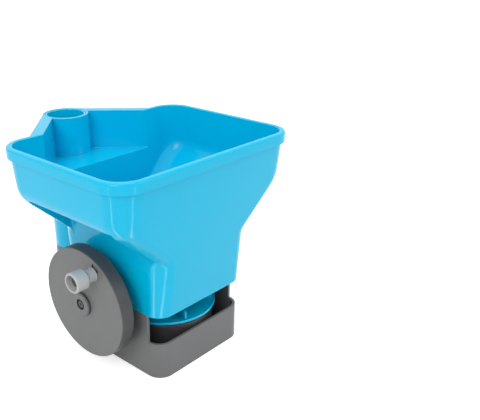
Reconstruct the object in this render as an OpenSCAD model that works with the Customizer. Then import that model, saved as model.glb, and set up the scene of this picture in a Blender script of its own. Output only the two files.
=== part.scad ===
// Hand-held crank spreader for seed and fertiliser.
// +Z is up, the base stands on z = 0, -Y is the throwing side, +Y is the handle side
// and -X is the side of the crank wheel. All sizes are in millimetres.

/* [Hopper] */
// Outer width of the hopper rim
rim_width = 205; // [190:1:230]
// Outer depth of the hopper rim
rim_depth = 153.6; // [145:0.1:170]
// Height of the rim above the ground
rim_height = 194; // [185:1:215]
// Outer corner radius of the rim
rim_corner = 25; // [20:1:30]
// Height of the turned-down lip round the rim
lip_height = 9.3; // [7:0.1:12]
// How far the lip stands out from the wall
lip_overhang = 3; // [2:0.1:4]
// Thickness of the hopper walls
wall = 2.4; // [2:0.1:2.8]
// Height at which the side walls turn inwards
shoulder_height = 152; // [148:1:155]
// Height at which the sloped sides meet the narrow neck
neck_height = 113; // [110:1:118]
// Outer width of the neck
neck_width = 109; // [108:0.5:112]
// Radius of the turn at the shoulder
shoulder_radius = 22; // [12:1:26]
// Height at which the funnel starts inside the neck
funnel_height = 98; // [94:1:104]
// Half width of the flat funnel floor
funnel_half_width = 24; // [24:0.5:27]
// Half depth of the flat funnel floor
funnel_half_depth = 31; // [30:0.5:34]

/* [Rear pod and handle] */
// Distance of the handle axis behind the middle of the hopper
handle_y = 117; // [112:1:124]
// Outer radius of the handle tube
handle_radius = 21.4; // [20.6:0.1:24]
// Bore radius of the handle tube
handle_bore = 17; // [13:0.1:17.4]
// Half width of the pod where it leaves the rear rim
pod_half_width = 70.6; // [64:0.2:76]
// Width of the flat flange round the pod
pod_flange = 11.5; // [9:0.1:13]
// Height of the underside of the pod
pod_underside = 155; // [152:1:160]

/* [Base] */
// Outer width of the base housing
base_width = 107.6; // [106:0.2:112]
// Outer depth of the base housing
base_depth = 118.6; // [116:0.2:126]
// Height of the base housing
base_height = 60.8; // [60:0.2:66]
// Corner radius of the base housing
base_corner = 14; // [10:0.5:16]
// Wall thickness of the base housing
base_wall = 2.5; // [2:0.1:3]
// Height of the low wall across the throwing side
sill_height = 34.2; // [28:0.2:36]
// Thickness of the bottom cover
cover_thickness = 3.5; // [3:0.1:4.5]

/* [Crank] */
// Radius of the crank wheel
wheel_radius = 50.14; // [49:0.1:54]
// Depth of the crank wheel along its axis
wheel_depth = 12.6; // [12:0.1:14]
// Thickness of the wheel's face plate
wheel_plate = 3; // [2.4:0.1:3.4]
// Gap between the housing wall and the back of the wheel
wheel_standoff = 12.6; // [11:0.1:16]
// Distance of the wheel axis behind the middle of the base
wheel_y = 7; // [4:0.5:10]
// Height of the wheel axis
wheel_z = 63.4; // [62:0.2:68]
// Radius of the steel axle of the wheel
axle_radius = 4; // [3.5:0.1:4.5]
// Radius of the raised hub on the wheel's face
hub_radius = 10.8; // [9.5:0.1:13]
// Height of the raised hub above the face
hub_rise = 3.2; // [3:0.1:4]
// Distance of the crank knob from the wheel axis
knob_throw = 37.9; // [34:0.1:39]
// Angle of the crank knob from straight up, towards the front
knob_angle = 26.6; // [0:0.1:60]
// Radius of the grip part of the knob
knob_radius = 8.75; // [8:0.05:10]
// Radius of the neck of the knob
knob_neck = 5.6; // [5:0.1:6.5]
// Length of the knob
knob_length = 22.2; // [20:0.1:30]
// Radius of the steel pin that carries the knob
knob_pin_radius = 2.5; // [2:0.1:2.8]

/* [Gears] */
// Teeth of the ring gear inside the wheel
ring_teeth = 74; // [70:2:78]
// Teeth of the pinion that it drives
pinion_teeth = 12; // [12:1:13]
// Teeth of each of the two equal bevel gears
bevel_teeth = 12; // [10:2:14]
// Pitch radius of the bevel gears
bevel_pitch = 7; // [6.6:0.1:7.4]
// Radius of both gear shafts
shaft_radius = 3; // [2.6:0.1:3.2]
// Running clearance of shafts and pins, on the radius
running_fit = 0.05; // [0.02:0.01:0.08]
// Clearance between parts that slide or pass each other
slide_gap = 0.3; // [0.25:0.05:0.4]

/* [Spinner] */
// Radius of the spinner disc
spinner_radius = 46.7; // [42:0.1:47.5]
// Distance of the spinner axis in front of the middle of the base
spinner_front = 11.3; // [10:0.1:12]
// Number of throwing fins
fin_count = 6; // [4:1:8]
// Height of the throwing fins
fin_height = 8; // [5:0.5:8.5]
// Radius of the gear drum under the disc
drum_radius = 44; // [42:0.5:44.5]

/* [Trigger and gate] */
// Length of the outlet slot along the gate's travel
outlet_length = 10; // [8:0.5:10]
// Width of the outlet slot
outlet_width = 30; // [20:1:34]
// Thickness of the sliding gate
gate_thickness = 2; // [1.6:0.1:2.2]
// Distance of the trigger pin behind the middle of the hopper
trigger_y = 88; // [87:0.5:89]
// Height of the trigger pin
trigger_z = 143; // [141:0.5:144]
// Angle of the trigger arm from the vertical at rest
trigger_lean = 13; // [12:0.5:14]
// Angle through which the trigger is pulled
trigger_pull = 8.8; // [8:0.1:9.2]
// Width of the trigger
trigger_width = 15.2; // [14:0.2:18]

/* [Hidden] */
$fn = 48;

// Colours of the mouldings and metal pieces
blue = [0.16, 0.68, 0.90];
grey = [0.50, 0.50, 0.50];
dark_grey = [0.30, 0.30, 0.31];
pale_grey = [0.78, 0.78, 0.77];
steel = [0.74, 0.75, 0.77];
bronze = [0.72, 0.55, 0.32];

// Hopper levels and slopes
lip_bottom = rim_height - lip_height;
wall_half_width = rim_width / 2 - lip_overhang;
wall_half_depth = rim_depth / 2 - lip_overhang;
side_draft = 0.05;
shoulder_half_width = wall_half_width - side_draft * (lip_bottom - shoulder_height);
neck_half_width = neck_width / 2;
skirt_half_width = base_width / 2 - 0.1;
skirt_half_depth = base_depth / 2 + 1;
side_slope = atan2(shoulder_height - neck_height, shoulder_half_width - neck_half_width);
neck_radius = 10;
corner_steps = 5;
fillet_steps = 4;
floor_underside = base_height + gate_thickness + 0.7;
floor_top = floor_underside + 3;
cut = 1;

// Spinner, gears and shafts
spinner_y = -spinner_front;
gear_rim = 2.3;
gear_module = (wheel_radius - gear_rim) / (ring_teeth / 2 + 1.25);
ring_pitch = gear_module * ring_teeth / 2;
pinion_pitch = gear_module * pinion_teeth / 2;
mesh_distance = ring_pitch - pinion_pitch;
drive_z = wheel_z - sqrt(pow(mesh_distance, 2) - pow(wheel_y - spinner_y, 2));
mesh_angle = atan2(spinner_y - wheel_y, wheel_z - drive_z);
bevel_module = 2 * bevel_pitch / bevel_teeth;
bevel_tip = bevel_pitch + 0.85 * bevel_module;
bevel_inner = 0.65;
housing_x = base_width / 2;
wheel_back_x = -housing_x - wheel_standoff;
wheel_face_x = wheel_back_x - wheel_depth;
plate_back_x = wheel_face_x + wheel_plate;
ear_thickness = 3.2;
ear_radius = 20;
ear_x = -max(housing_x, skirt_x(wheel_z + ear_radius) + slide_gap) - ear_thickness;
hub_face_x = wheel_face_x - hub_rise;

// Levels of the drum and the disc
drum_plate = 2.2;
drum_top = drive_z + bevel_tip + 0.3 + drum_plate;
disc_underside = drum_top + 1.3;
disc_plate = 2.2;
disc_top = disc_underside + disc_plate;
drum_boss_top = disc_top + 2.6;
spinner_hub_top = disc_top + 9.5;
shaft_top = floor_top + 11;

// Outlet and gate
link_rest_z = floor_underside + 4.6;
arm_length = (trigger_z - link_rest_z) / cos(trigger_lean);
link_rest_y = trigger_y - arm_length * sin(trigger_lean);
link_pulled_y = trigger_y - arm_length * sin(trigger_lean - trigger_pull);
gate_travel = link_pulled_y - link_rest_y;
gate_top = floor_underside - slide_gap;
gate_bottom = gate_top - gate_thickness;
gate_half_width = 22;
outlet_back = spinner_y - 17.7;
outlet_front = outlet_back - outlet_length;
gate_front = outlet_front - gate_travel - 3;
link_pin_radius = 2;
lug_thickness = 2.2;
lug_half_width = 5;
strap_half_width = 5.2;
pivot_radius = 1.5;
spring_y = trigger_y - 7.4;
spring_radius = 2.8;
shelf_z = trigger_z - 8;
shelf_half_width = 5;
bracket_half_width = 14;
bracket_screw_x = 11;
bracket_screw_y = spring_y - 1.2;

// Recess beside the neck, and the pod
well_drop = 6;
well_below = 12;
well_set_back = 0.4;
well_corner = 4;
well_back = wheel_y + 40;
pod_plate = 3;

// Fits, bushes and screws
seat_fit = 0.15;
bush_radius = shaft_radius + 2;
screw_shank = 1.25;
screw_head = 3;
screw_head_height = 2;
cover_screw_length = 10;
hopper_screw_length = 6;
bracket_screw_length = 4.4;
small_head = 2.2;
small_head_height = 1.4;
stirrer_radius = 1.6;
stirrer_gap = 1.6;
stirrer_post = 6.5;
washer = 0.8;
spigot_radius = (handle_radius + handle_bore) / 2;
hopper_screw_y = [-24, 38];
hopper_screw_z = base_height + 4.7;
handle_screw_z = base_height - 10;
tongue = 2.2;

// Base housing
arm_half_width = 16;
arm_drop = 6;
arm_root_z = 14;
arm_tip_z = 36;
cup_floor = arm_tip_z + 4;
ear_foot_z = 20;
post_reach = 6;
post_inset = base_corner - post_reach * cos(45);
post_height = 16;
post_radius = 4;

// Drum, shaft supports and bevel gears
drum_wall = 2.4;
drum_post_r = drum_radius - drum_wall - 6.1;
drum_post_angles = [90, -30, -150];
bevel_hub = 5.4;
inner_boss_x = 0.6 - drum_radius;
inner_boss_end = -bevel_pitch - bevel_hub - slide_gap;
foot_boss_top = drive_z - bevel_pitch - bevel_hub - washer - slide_gap;
fin_phase = 10;

// Crank wheel and knob
hub_hole = axle_radius + 1;
axle_sink = hub_rise - 0.2;
rib_reach = 27;
knob_local = [-knob_throw * cos(knob_angle), -knob_throw * sin(knob_angle)];
knob_local_angle = 180 + knob_angle;
knob_recess = knob_radius - 1.9;
ring_gap_share = 0.58;
pinion_tooth_share = 0.42;
bevel_tooth_share = 0.4;

// ---- shared shapes ----

// A rounded rectangle of points at height z, counter-clockwise from above.
function rounded_ring(half_x, half_y, radius, z, shift_y = 0) = [
  for (corner = [0:3], step = [0:corner_steps])
    let (
      angle = 90 * corner + 90 * step / corner_steps,
      side_x = (corner == 0 || corner == 3) ? 1 : -1,
      side_y = (corner < 2) ? 1 : -1
    )
    [
      side_x * (half_x - radius) + radius * cos(angle),
      shift_y + side_y * (half_y - radius) + radius * sin(angle),
      z
    ]
];

// Closed skin over rings of equal length, listed from the lowest to the highest.
module loft(rings) {
  count = len(rings[0]);
  last = len(rings) - 1;
  points = [for (ring = rings, point = ring) point];
  sides = [
    for (level = [0:last - 1], i = [0:count - 1])
      let (a = level * count + i, b = level * count + (i + 1) % count)
      each [[a, a + count, b + count], [a, b + count, b]]
  ];
  lower_cap = [for (i = [0:count - 1]) i];
  upper_cap = [for (i = [count - 1:-1:0]) last * count + i];
  polyhedron(points, concat(sides, [lower_cap, upper_cap]));
}

// Points of an arc that rounds the corner b of the path a-b-c.
function rounded_corner(a, b, c, radius) =
  let (
    to_a = (a - b) / norm(a - b),
    to_c = (c - b) / norm(c - b),
    half = acos(to_a * to_c) / 2,
    middle = (to_a + to_c) / norm(to_a + to_c),
    centre = b + middle * radius / sin(half),
    start = b + to_a * radius / tan(half) - centre,
    finish = b + to_c * radius / tan(half) - centre
  )
  [
    for (step = [0:fillet_steps])
      let (
        t = step / fillet_steps,
        blend = start * (1 - t) + finish * t
      )
      centre + blend * radius / norm(blend)
  ];

// Rectangle with round corners, centred on the origin.
module rounded_rect(width, depth, radius) {
  square([width - 2 * radius, depth], center = true);
  square([width, depth - 2 * radius], center = true);
  for (sx = [-1, 1], sy = [-1, 1])
    translate([sx * (width / 2 - radius), sy * (depth / 2 - radius)])
      circle(radius);
}

// Places a shape with its own z axis along +X.
module along_x(x, y, z) {
  translate([x, y, z]) rotate([0, 90, 0]) children();
}

// A flat ring or tube that stands on z = 0.
module tube(outer, inner, height) {
  difference() {
    cylinder(h = height, r = outer);
    translate([0, 0, -cut]) cylinder(h = height + 2 * cut, r = inner);
  }
}

// A pan-head screw with its head on z = 0 to head_height and its shank below.
module screw(head_radius, head_height, shank_radius, length) {
  difference() {
    union() {
      cylinder(h = head_height, r = head_radius);
      translate([0, 0, -length]) cylinder(h = length + 0.1, r = shank_radius);
    }
    for (turn = [0, 90])
      rotate([0, 0, turn])
        translate([-head_radius * 0.55, -head_radius * 0.11, head_height * 0.45])
          cube([head_radius * 1.1, head_radius * 0.22, head_height]);
  }
}

// Outline of a spur gear. Each tooth is a trapezoid whose flanks follow four points:
// root, pitch line and tip, with tooth_share of the pitch taken up at the pitch line.
function gear_outline(teeth, pitch, module_size, tooth_share, root_depth, tip_height) = [
  for (tooth = [0:teeth - 1])
    let (
      middle = 360 * tooth / teeth,
      step = 360 / teeth,
      half_pitch = step * tooth_share / 2,
      flank = atan(tan(20) * module_size / pitch)
    )
    each [
      for (side = [-1, 1])
        let (
          root = pitch - root_depth * module_size,
          tip = pitch + tip_height * module_size,
          root_angle = half_pitch + flank * root_depth * 0.75,
          tip_angle = half_pitch - flank * tip_height * 1.25,
          pair = [[root, root_angle], [pitch, half_pitch], [tip, tip_angle]],
          order = (side < 0) ? [0, 1, 2] : [2, 1, 0]
        )
        each [
          for (i = order)
            pair[i][0] * [cos(middle + side * pair[i][1]), sin(middle + side * pair[i][1])]
        ]
    ]
];

// ---- hopper ----

// Half width and height of the outer side profile, from the skirt to the rim.
function side_profile(inset) =
  let (
    lift = inset * (1 / cos(side_slope) - tan(side_slope)),
    foot = [skirt_half_width - inset, base_height],
    neck = [neck_half_width - inset, neck_height + lift],
    shoulder = [shoulder_half_width - inset, shoulder_height + lift],
    brim = [wall_half_width - inset, lip_bottom]
  )
  concat(
    [foot],
    rounded_corner(foot, neck, shoulder, neck_radius),
    rounded_corner(neck, shoulder, brim, shoulder_radius - inset),
    [brim]
  );

// Half width of the outer skin between the skirt and the neck.
function skirt_x(z) =
  skirt_half_width
  + (neck_half_width - skirt_half_width) * (z - base_height) / (neck_height - base_height);

// Half depth of the outer skin at height z: the front and rear lean out evenly.
function half_depth(z) =
  skirt_half_depth
  + (wall_half_depth - skirt_half_depth) * (z - base_height) / (lip_bottom - base_height);

// Corner radius of the outer skin at height z.
function skin_corner(z) =
  base_corner + (rim_corner - lip_overhang - base_corner)
  * (z - base_height) / (lip_bottom - base_height);

function skin_rings(inset) = [
  for (p = side_profile(inset))
    rounded_ring(p[0], half_depth(p[1]) - inset, skin_corner(p[1]) - inset, p[1])
];

// The turned-down lip, with a rounded outer top edge.
module lip_ring() {
  edge = 2.2;
  levels = [
    [lip_bottom, 0.3],
    [lip_bottom + 0.6, 0],
    for (step = [0:4])
      [rim_height - edge + edge * sin(22.5 * step), edge * (1 - cos(22.5 * step))]
  ];
  loft([
    for (level = levels)
      rounded_ring(
        rim_width / 2 - level[1], rim_depth / 2 - level[1], rim_corner - level[1], level[0]
      )
  ]);
}

// Space inside the hopper: the tapered body, then the funnel down to the flat floor.
module hopper_space() {
  body = [for (ring = skin_rings(wall)) if (ring[0][2] > funnel_height) ring];
  brim = body[len(body) - 1];
  funnel_floor = rounded_ring(
    funnel_half_width, funnel_half_depth, 10, floor_top, spinner_y - 1
  );
  funnel_brim = rounded_ring(
    (skirt_half_width + neck_half_width) / 2 - wall,
    half_depth(funnel_height) - wall,
    skin_corner(funnel_height) - wall,
    funnel_height
  );
  above = [for (p = brim) [p[0], p[1], rim_height + cut]];
  loft(concat([funnel_floor, funnel_brim], body, [above]));
}

// Hollow between the skirt and the funnel, open at the bottom.
module skirt_space() {
  thick = wall / cos(45);
  difference() {
    loft([
      rounded_ring(
        skirt_half_width - wall, skirt_half_depth - wall, base_corner - wall,
        base_height - cut
      ),
      rounded_ring(
        skirt_half_width - wall, half_depth(funnel_height) - wall,
        skin_corner(funnel_height) - wall, funnel_height - 2 * wall
      )
    ]);
    loft([
      rounded_ring(
        funnel_half_width + wall, funnel_half_depth + wall, 12, floor_underside, spinner_y - 1
      ),
      rounded_ring(
        funnel_half_width + wall, funnel_half_depth + wall, 12, floor_top - 1, spinner_y - 1
      ),
      rounded_ring(
        neck_half_width, half_depth(funnel_height), skin_corner(funnel_height),
        funnel_height - thick
      ),
      rounded_ring(
        neck_half_width, half_depth(funnel_height), skin_corner(funnel_height),
        funnel_height + cut
      )
    ]);
  }
}

// Slab between the front and rear walls, inset from their outer faces.
module depth_slab(inset) {
  loft([
    for (z = [base_height, lip_bottom])
      [
        for (corner = [[1, 1], [-1, 1], [-1, -1], [1, -1]])
          [corner[0] * rim_width, corner[1] * (half_depth(z) - inset), z]
      ]
  ]);
}

// Recess under the shoulder above the crank wheel that leaves room for the knuckles.
module well_prism(grow) {
  inner_x = well_set_back + grow - neck_half_width;
  roof_z = shoulder_height - well_drop + grow;
  outline = [
    [-rim_width, neck_height - well_below],
    [-rim_width, shoulder_height + grow],
    [-shoulder_half_width, shoulder_height + grow],
    [inner_x - well_corner, roof_z],
    [inner_x, roof_z - well_corner],
    [inner_x, neck_height - well_below]
  ];
  translate([0, well_back + grow, 0])
    rotate([90, 0, 0])
      linear_extrude(well_back + rim_depth)
        polygon(outline);
}

// Angle of the normal of the pod's straight sides, from +Y towards +X.
function pod_normal() =
  let (reach = handle_y - wall_half_depth - 1)
  atan2(reach, pod_half_width) + asin(handle_radius / norm([pod_half_width, reach]));

// Outline of the pod, inset from its outer edge. Its straight sides run just inside the
// tangents to the round collar and end inside it.
function pod_outline(inset) =
  let (
    turn = pod_normal(),
    radius = handle_radius - inset - 0.15,
    start_y = wall_half_depth - wall - 4,
    start_x = (radius + cos(turn) * (handle_y - start_y)) / sin(turn),
    foot = radius * [sin(turn), cos(turn)]
  )
  [
    [start_x, start_y], [foot[0], handle_y + foot[1]], [0, handle_y + foot[1] + 1],
    [-foot[0], handle_y + foot[1]], [-start_x, start_y]
  ];

module pod_slice(inset, low, high) {
  translate([0, 0, low])
    linear_extrude(high - low)
      polygon(pod_outline(inset));
}

// The pod behind the rear wall: flat flange, its turned-down edge and the inner walls.
module pod() {
  pod_slice(0, rim_height - pod_plate, rim_height);
  difference() {
    pod_slice(0, lip_bottom, rim_height - pod_plate);
    pod_slice(2, lip_bottom - cut, rim_height);
  }
  pod_slice(pod_flange - wall, pod_underside, rim_height);
  translate([0, handle_y, pod_underside])
    cylinder(h = rim_height - pod_underside, r = handle_radius);
}

// Two rails under the funnel floor that carry the gate.
module gate_rails() {
  leg_x = gate_half_width + slide_gap;
  lip = 1.4;
  length = 2 * funnel_half_depth - 4;
  for (side = [-1, 1])
    translate([0, spinner_y - 1 - length / 2, 0]) {
      translate([side > 0 ? leg_x : -leg_x - wall, 0, gate_bottom - slide_gap - lip])
        cube([wall, length, floor_underside + 1 - gate_bottom + slide_gap + lip]);
      translate([side > 0 ? leg_x - 2.6 : -leg_x - wall, 0, gate_bottom - slide_gap - lip])
        cube([wall + 2.6, length, lip]);
    }
}

module hopper() {
  color(blue)
    difference() {
      union() {
        difference() {
          union() {
            difference() {
              loft(skin_rings(0));
              intersection() {
                well_prism(0);
                depth_slab(wall);
              }
            }
            lip_ring();
          }
          difference() {
            hopper_space();
            well_prism(wall);
          }
          skirt_space();
          pod_slice(pod_flange, pod_underside + wall, rim_height + cut);
        }
        difference() {
          pod();
          hopper_space();
          difference() {
            pod_slice(pod_flange, pod_underside + wall, rim_height + cut);
            translate([0, handle_y, pod_underside])
              cylinder(h = rim_height, r = handle_radius);
          }
        }
        gate_rails();
      }
      // Socket for the upper end of the handle tube
      translate([0, handle_y, pod_underside - cut])
        cylinder(h = rim_height, r = spigot_radius + seat_fit);
      // Outlet slot and the hole for the spinner shaft
      translate([-outlet_width / 2, outlet_front, floor_underside - cut])
        cube([outlet_width, outlet_length, floor_top - floor_underside + 2 * cut]);
      translate([0, spinner_y, floor_underside - cut])
        cylinder(h = floor_top, r = shaft_radius + slide_gap);
      // Notch in the rear of the skirt for the pull strap
      translate([-strap_half_width - 0.6, 0, base_height - cut])
        cube([2 * strap_half_width + 1.2, rim_depth / 2, gate_top + slide_gap + 0.3 - base_height + cut]);
      // Screw holes in the skirt and under the pod
      for (side = [-1, 1], y = hopper_screw_y)
        along_x(side * skirt_half_width, y, hopper_screw_z)
          translate([0, 0, -2 * wall])
            cylinder(h = 4 * wall, r = screw_shank + seat_fit);
      for (side = [-1, 1])
        translate([side * bracket_screw_x, bracket_screw_y, pod_underside - cut])
          cylinder(h = wall + 2 * cut, r = screw_shank + 0.05);
    }
}

// ---- handle tube ----

// Round grip tube with a spigot at each end: the upper one in the pod, the lower in the base.
module handle_tube() {
  edge = 1;
  color(blue)
    difference() {
      translate([0, handle_y, 0])
        rotate_extrude()
          polygon([
            [handle_bore, cup_floor + 0.2],
            [spigot_radius, cup_floor + 0.2],
            [spigot_radius, base_height + 0.2],
            [handle_radius - 0.4, base_height + 0.2],
            [handle_radius, base_height + 0.6],
            [handle_radius, pod_underside - 0.1],
            [spigot_radius, pod_underside - 0.1],
            [spigot_radius, rim_height - edge / 2],
            [spigot_radius - edge / 2, rim_height],
            [handle_bore + edge, rim_height],
            [handle_bore + edge * 0.3, rim_height - edge * 0.3],
            [handle_bore, rim_height - edge]
          ]);
      translate([0, handle_y + handle_radius + cut, handle_screw_z])
        rotate([90, 0, 0])
          cylinder(h = handle_radius, r = screw_shank + 0.05);
    }
}

// ---- base ----

module base_shell() {
  difference() {
    linear_extrude(base_height)
      rounded_rect(base_width, base_depth, base_corner);
    translate([0, 0, -cut])
      linear_extrude(base_height + 2 * cut)
        rounded_rect(
          base_width - 2 * base_wall, base_depth - 2 * base_wall, base_corner - base_wall
        );
    // Throwing side: the wall stops at the sill and the side walls at the corners
    translate([-base_width, -base_depth, sill_height])
      cube([2 * base_width, base_depth / 2 + base_corner, base_height]);
  }
}

// Arm behind the base, hollow from below, with the cup for the foot of the handle tube.
module handle_arm() {
  wall_y = base_depth / 2 - base_wall;
  arm_top = base_height - arm_drop;
  difference() {
    union() {
      rotate([90, 0, 90])
        translate([0, 0, -arm_half_width])
          linear_extrude(2 * arm_half_width)
            polygon([
              [wall_y, arm_root_z], [wall_y, arm_top], [handle_y, arm_top], [handle_y, arm_tip_z]
            ]);
      translate([0, handle_y, arm_tip_z])
        cylinder(h = base_height - arm_tip_z, r = handle_radius);
    }
    difference() {
      rotate([90, 0, 90])
        translate([0, 0, base_wall - arm_half_width])
          linear_extrude(2 * arm_half_width - 2 * base_wall)
            polygon([
              [wall_y - cut, arm_root_z - cut], [wall_y - cut, arm_top - base_wall],
              [handle_y, arm_top - base_wall], [handle_y, arm_tip_z - cut]
            ]);
      translate([0, handle_y, arm_tip_z])
        cylinder(h = base_height, r = handle_radius);
    }
    translate([0, handle_y, cup_floor])
      cylinder(h = base_height, r = spigot_radius + seat_fit);
  }
}

// Round-topped ear and boss that carry the axle of the crank wheel.
module axle_ear() {
  ear_end = -skirt_x(wheel_z + ear_radius) - slide_gap;
  boss_x = wheel_back_x + slide_gap;
  rib_x = wheel_back_x + 3;
  along_x(ear_x, wheel_y, wheel_z)
    cylinder(h = ear_end - ear_x, r = ear_radius);
  translate([ear_x, wheel_y - ear_radius, ear_foot_z])
    cube([ear_end - ear_x, 2 * ear_radius, wheel_z - ear_foot_z]);
  translate([ear_x + 0.6, wheel_y - ear_radius + 0.6, ear_foot_z + 0.6])
    cube([0.4 - ear_x - housing_x, 2 * ear_radius - 1.2, base_height - ear_foot_z - 1.6]);
  along_x(boss_x, wheel_y, wheel_z)
    cylinder(h = ear_end - boss_x - 0.6, r = axle_radius + 5);
  for (turn = [0:3])
    along_x(rib_x, wheel_y, wheel_z)
      rotate([0, 0, 90 * turn + 45])
        translate([0, -base_wall / 2, 0])
          cube([ear_radius - 2, base_wall, ear_end - rib_x - 0.6]);
}

module base_housing() {
  post_x = base_width / 2 - post_inset;
  post_y = base_depth / 2 - post_inset;
  color(grey)
    difference() {
      union() {
        base_shell();
        handle_arm();
        axle_ear();
        // Boss for the outer shaft bush
        along_x(ear_x, spinner_y, drive_z)
          cylinder(h = base_wall + 1.5 - ear_x - housing_x, r = bush_radius + 3);
        // Corner posts for the cover screws
        for (sx = [-1, 1], sy = [-1, 1])
          translate([sx * post_x, sy * post_y, cover_thickness + 0.1]) {
            cylinder(h = post_height, r = post_radius);
            rotate([0, 0, atan2(sy, sx)])
              translate([0, -1.5, 0])
                cube([base_corner - base_wall - post_reach + 1, 3, post_height]);
          }
        // Tongues inside the skirt that hold the hopper
        for (side = [-1, 1])
          translate([
            side > 0 ? housing_x - base_wall - tongue - 0.1 : 0.1 + base_wall - housing_x,
            -32, base_height - 10
          ])
            cube([tongue, 76, hopper_screw_z + 5 - base_height + 10]);
        for (side = [-1, 1])
          translate([side * (housing_x - base_wall) - 0.5, -32, base_height - 10])
            cube([1, 76, 9]);
      }
      // Bore for the axle
      along_x(wheel_back_x - cut, wheel_y, wheel_z)
        cylinder(h = wheel_standoff + cut - 1.2, r = axle_radius + 0.05);
      // Bore for the outer shaft bush
      along_x(ear_x - cut, spinner_y, drive_z)
        cylinder(h = 20, r = bush_radius + 0.05);
      for (sx = [-1, 1], sy = [-1, 1])
        translate([sx * post_x, sy * post_y, -cut])
          cylinder(h = post_height, r = screw_shank + 0.05);
      for (side = [-1, 1], y = hopper_screw_y)
        along_x(side * housing_x, y, hopper_screw_z)
          translate([0, 0, -8])
            cylinder(h = 16, r = screw_shank + 0.05);
      translate([0, handle_y + handle_radius + cut, handle_screw_z])
        rotate([90, 0, 0])
          cylinder(h = handle_radius - spigot_radius + 2 * cut, r = screw_shank + seat_fit);
    }
}

module bottom_cover() {
  margin = base_wall + 0.2;
  post_x = base_width / 2 - post_inset;
  post_y = base_depth / 2 - post_inset;
  color(grey)
    difference() {
      union() {
        linear_extrude(cover_thickness)
          rounded_rect(base_width - 2 * margin, base_depth - 2 * margin, base_corner - margin);
        // Ring that centres the drum, and the boss for the foot of the spinner shaft
        translate([0, spinner_y, cover_thickness - 0.5])
          tube(drum_radius - drum_wall - 0.2, drum_radius - drum_wall - 2, 4);
        translate([0, spinner_y, cover_thickness - 0.5])
          cylinder(h = foot_boss_top - cover_thickness + 0.5, r = shaft_radius + 3.4);
        for (turn = [0:5])
          translate([0, spinner_y, cover_thickness - 0.5])
            rotate([0, 0, 60 * turn + 15])
              translate([shaft_radius + 2, -0.9, 0])
                cube([drum_radius - drum_wall - shaft_radius - 3.2, 1.8, 4]);
      }
      translate([0, spinner_y, cover_thickness])
        cylinder(h = foot_boss_top, r = shaft_radius + running_fit);
      for (sx = [-1, 1], sy = [-1, 1])
        translate([sx * post_x, sy * post_y, 0])
          screw_seat();
      for (angle = drum_post_angles)
        translate([drum_post_r * cos(angle), spinner_y + drum_post_r * sin(angle), 0])
          screw_seat();
    }
}

// Counterbore and hole for a screw that is driven from below.
module screw_seat() {
  translate([0, 0, -cut])
    cylinder(h = screw_head_height + 0.2 + cut, r = screw_head + 0.3);
  translate([0, 0, -cut])
    cylinder(h = cover_thickness + 2 * cut, r = screw_shank + seat_fit);
}

// Closed drum over the gears. The spinner turns on the boss in its lid.
module gear_drum() {
  lid_bottom = drum_top - drum_plate;
  color(dark_grey)
    difference() {
      union() {
        translate([0, spinner_y, cover_thickness])
          rotate_extrude()
            polygon([
              [drum_radius - drum_wall, 0],
              [drum_radius, 0],
              [drum_radius, drum_top - cover_thickness - 1.5],
              [drum_radius - 1.5, drum_top - cover_thickness],
              [0, drum_top - cover_thickness],
              [0, lid_bottom - cover_thickness],
              [drum_radius - drum_wall, lid_bottom - cover_thickness]
            ]);
        translate([0, spinner_y, lid_bottom])
          cylinder(h = drum_boss_top - lid_bottom, r = bush_radius + 2.4);
        // Boss for the inner shaft bush
        along_x(inner_boss_x, spinner_y, drive_z)
          cylinder(h = inner_boss_end - inner_boss_x, r = bush_radius + 2.4);
        for (angle = drum_post_angles)
          translate([drum_post_r * cos(angle), spinner_y + drum_post_r * sin(angle), cover_thickness + 0.1])
            cylinder(h = drum_top - 1 - cover_thickness, r = post_radius - 0.6);
      }
      translate([0, spinner_y, lid_bottom - cut])
        cylinder(h = drum_boss_top, r = bush_radius + 0.05);
      along_x(-drum_radius - cut, spinner_y, drive_z)
        cylinder(h = inner_boss_end + drum_radius + 2 * cut, r = bush_radius + 0.05);
      for (angle = drum_post_angles)
        translate([drum_post_r * cos(angle), spinner_y + drum_post_r * sin(angle), -cut])
          cylinder(h = 18, r = screw_shank + 0.05);
    }
}

// ---- crank ----

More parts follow.
